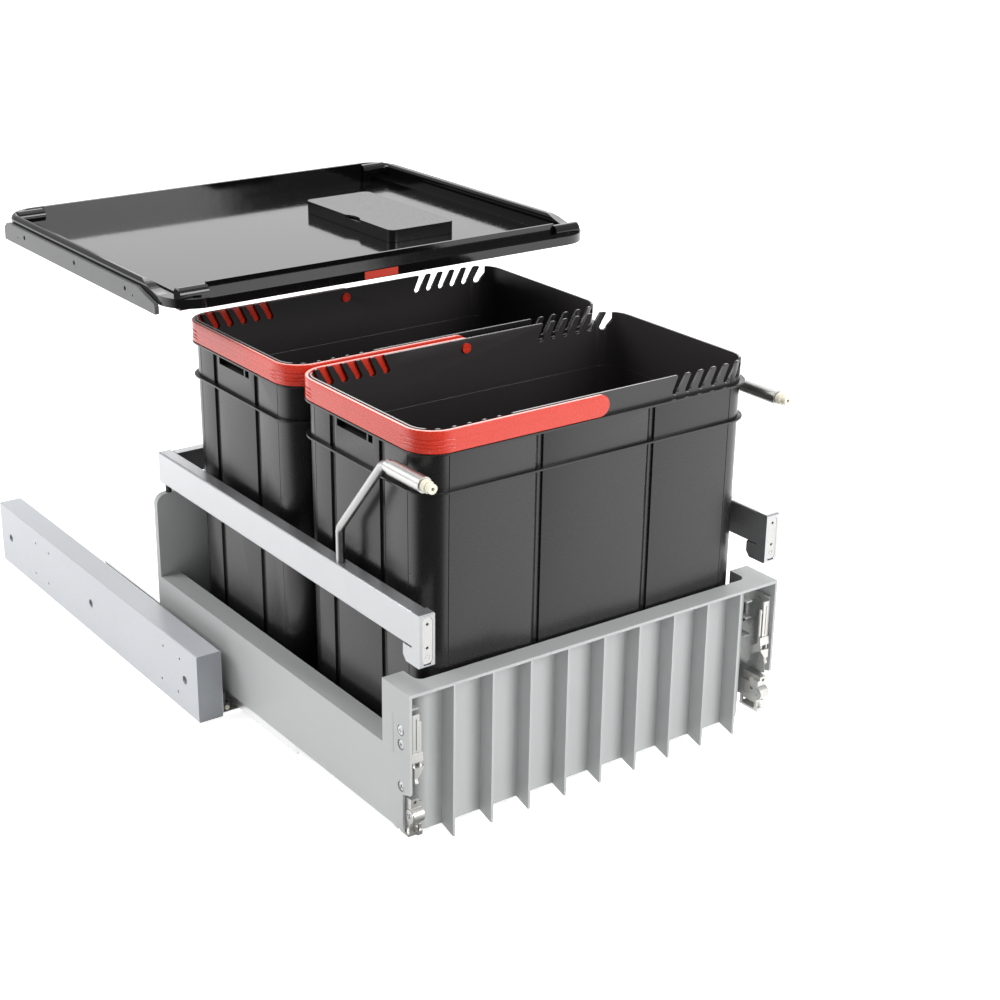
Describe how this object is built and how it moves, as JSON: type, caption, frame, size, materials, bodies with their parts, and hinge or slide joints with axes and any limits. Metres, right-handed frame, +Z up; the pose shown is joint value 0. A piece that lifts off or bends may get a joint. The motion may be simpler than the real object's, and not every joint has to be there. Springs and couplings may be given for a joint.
{
  "type": "pull-out bin frame",
  "caption": "Moulded carrier frame on full-extension slides with lift-out bins, bail handles, gallery rails, panel stays and a cabinet lid.",
  "frame": {"origin": "middle of the width and length at the lower edge of the spacer boards, in the pose shown", "axes": "+X to the right seen from the front, +Y into the cabinet, +Z up; the frame pulls out along -Y"},
  "size_m": [0.562, 0.925, 0.4888],
  "materials": {
    "board_laminate": "smooth light grey laminate",
    "zinc_steel": "zinc plated sheet",
    "black_plastic": "matte",
    "white_plastic": "smooth",
    "grey_plastic": "fine moulded grain",
    "coated_aluminium": "silver grey powder coat",
    "light_plastic": "smooth",
    "die_cast_zinc": "satin zinc",
    "black_bin_plastic": "satin with moulded grain",
    "red_plastic": "glossy",
    "dark_plastic": "matte",
    "gloss_black_plastic": "high gloss",
    "black_felt": "felt"
  },
  "bodies": {
    "cabinet": {"left_spacer_board": "board_laminate", "left_cabinet_rail": "zinc_steel", "left_rail_screws": "zinc_steel", "left_rail_bracket": "black_plastic", "left_rail_buffer": "white_plastic", "left_lid_bracket": "dark_plastic", "right_spacer_board": "board_laminate", "right_cabinet_rail": "zinc_steel", "right_rail_screws": "zinc_steel", "right_rail_bracket": "black_plastic", "right_rail_buffer": "white_plastic", "right_lid_bracket": "dark_plastic"},
    "left_lower_cage": {"left_lower_cage": "black_plastic"},
    "left_middle_rail": {"left_middle_rail": "zinc_steel"},
    "left_upper_cage": {"left_upper_cage": "black_plastic"},
    "right_lower_cage": {"right_lower_cage": "black_plastic"},
    "right_middle_rail": {"right_middle_rail": "zinc_steel"},
    "right_upper_cage": {"right_upper_cage": "black_plastic"},
    "carriage": {"carrier_frame": "grey_plastic", "rear_cross_rail": "coated_aluminium", "left_runner": "zinc_steel", "left_runner_screws": "zinc_steel", "left_gallery_rail": "coated_aluminium", "left_front_cap": "light_plastic", "left_cap_insert": "white_plastic", "left_rear_post": "black_plastic", "left_stay_rod": "zinc_steel", "left_stay_sleeve": "zinc_steel", "left_fixing_plate": "die_cast_zinc", "left_adjuster_block": "die_cast_zinc", "left_side_screws": "zinc_steel", "right_runner": "zinc_steel", "right_runner_screws": "zinc_steel", "right_gallery_rail": "coated_aluminium", "right_front_cap": "light_plastic", "right_cap_insert": "white_plastic", "right_rear_post": "black_plastic", "right_stay_rod": "zinc_steel", "right_stay_sleeve": "zinc_steel", "right_fixing_plate": "die_cast_zinc", "right_adjuster_block": "die_cast_zinc", "right_side_screws": "zinc_steel"},
    "left_stay_tip": {"left_stay_tip": "white_plastic"},
    "left_lock_lever": {"left_lock_lever": "die_cast_zinc"},
    "left_adjuster_screw": {"left_adjuster_screw": "die_cast_zinc"},
    "right_stay_tip": {"right_stay_tip": "white_plastic"},
    "right_lock_lever": {"right_lock_lever": "die_cast_zinc"},
    "right_adjuster_screw": {"right_adjuster_screw": "die_cast_zinc"},
    "front_bin": {"front_bin": "black_bin_plastic"},
    "front_handle": {"front_handle": "red_plastic", "front_handle_pins": "red_plastic"},
    "rear_bin": {"rear_bin": "black_bin_plastic"},
    "rear_handle": {"rear_handle": "red_plastic", "rear_handle_pins": "red_plastic"},
    "lid": {"lid_tray": "gloss_black_plastic", "lid_tag": "red_plastic", "filter_pad": "black_felt"},
    "filter_cover": {"filter_cover": "black_plastic"}
  },
  "joints": [
    {"name": "frame_slide", "type": "slide", "parent": "cabinet", "child": "carriage", "axis": [0, -1, 0], "range_m": [-0.345, 0.205]},
    {"name": "left_lower_cage_slide", "type": "slide", "parent": "cabinet", "child": "left_lower_cage", "axis": [0, -1, 0], "range_m": [-0.08645, 0.05145]},
    {"name": "left_middle_rail_slide", "type": "slide", "parent": "cabinet", "child": "left_middle_rail", "axis": [0, -1, 0], "range_m": [-0.1727, 0.1027]},
    {"name": "left_upper_cage_slide", "type": "slide", "parent": "cabinet", "child": "left_upper_cage", "axis": [0, -1, 0], "range_m": [-0.25895, 0.15395]},
    {"name": "right_lower_cage_slide", "type": "slide", "parent": "cabinet", "child": "right_lower_cage", "axis": [0, -1, 0], "range_m": [-0.08645, 0.05145]},
    {"name": "right_middle_rail_slide", "type": "slide", "parent": "cabinet", "child": "right_middle_rail", "axis": [0, -1, 0], "range_m": [-0.1727, 0.1027]},
    {"name": "right_upper_cage_slide", "type": "slide", "parent": "cabinet", "child": "right_upper_cage", "axis": [0, -1, 0], "range_m": [-0.25895, 0.15395]},
    {"name": "left_stay_adjust", "type": "slide", "parent": "carriage", "child": "left_stay_tip", "axis": [0, -1, 0], "range_m": [0, 0.008]},
    {"name": "left_lever_swing", "type": "hinge", "parent": "carriage", "child": "left_lock_lever", "pos_m": [-0.228, -0.4355, 0.0913], "axis": [1, 0, 0], "range_deg": [0, 70]},
    {"name": "left_adjuster_turn", "type": "hinge", "parent": "carriage", "child": "left_adjuster_screw", "pos_m": [-0.229, -0.4445, 0.0413], "axis": [1, 0, 0], "continuous": true},
    {"name": "right_stay_adjust", "type": "slide", "parent": "carriage", "child": "right_stay_tip", "axis": [0, -1, 0], "range_m": [0, 0.008]},
    {"name": "right_lever_swing", "type": "hinge", "parent": "carriage", "child": "right_lock_lever", "pos_m": [0.228, -0.4355, 0.0913], "axis": [1, 0, 0], "range_deg": [0, 70]},
    {"name": "right_adjuster_turn", "type": "hinge", "parent": "carriage", "child": "right_adjuster_screw", "pos_m": [0.229, -0.4445, 0.0413], "axis": [1, 0, 0], "continuous": true},
    {"name": "front_bin_lift", "type": "slide", "parent": "carriage", "child": "front_bin", "axis": [0, 0, 1], "range_m": [0, 0.42]},
    {"name": "front_handle_swing", "type": "hinge", "parent": "front_bin", "child": "front_handle", "pos_m": [0, -0.312, 0.4142], "axis": [0, 1, 0], "range_deg": [0, 180]},
    {"name": "rear_bin_lift", "type": "slide", "parent": "carriage", "child": "rear_bin", "axis": [0, 0, 1], "range_m": [0, 0.034]},
    {"name": "rear_handle_swing", "type": "hinge", "parent": "rear_bin", "child": "rear_handle", "pos_m": [0, -0.07, 0.4142], "axis": [0, 1, 0], "range_deg": [0, 9]},
    {"name": "lid_lift", "type": "slide", "parent": "cabinet", "child": "lid", "axis": [0, 0, 1], "range_m": [0, 0.04]},
    {"name": "filter_cover_lift", "type": "slide", "parent": "lid", "child": "filter_cover", "axis": [0, 0, 1], "range_m": [0, 0.03]}
  ],
  "couplings": [
    {"joint": "left_lower_cage_slide", "follows": "frame_slide", "ratio": 0.25},
    {"joint": "left_middle_rail_slide", "follows": "frame_slide", "ratio": 0.5},
    {"joint": "left_upper_cage_slide", "follows": "frame_slide", "ratio": 0.75},
    {"joint": "right_lower_cage_slide", "follows": "frame_slide", "ratio": 0.25},
    {"joint": "right_middle_rail_slide", "follows": "frame_slide", "ratio": 0.5},
    {"joint": "right_upper_cage_slide", "follows": "frame_slide", "ratio": 0.75}
  ]
}
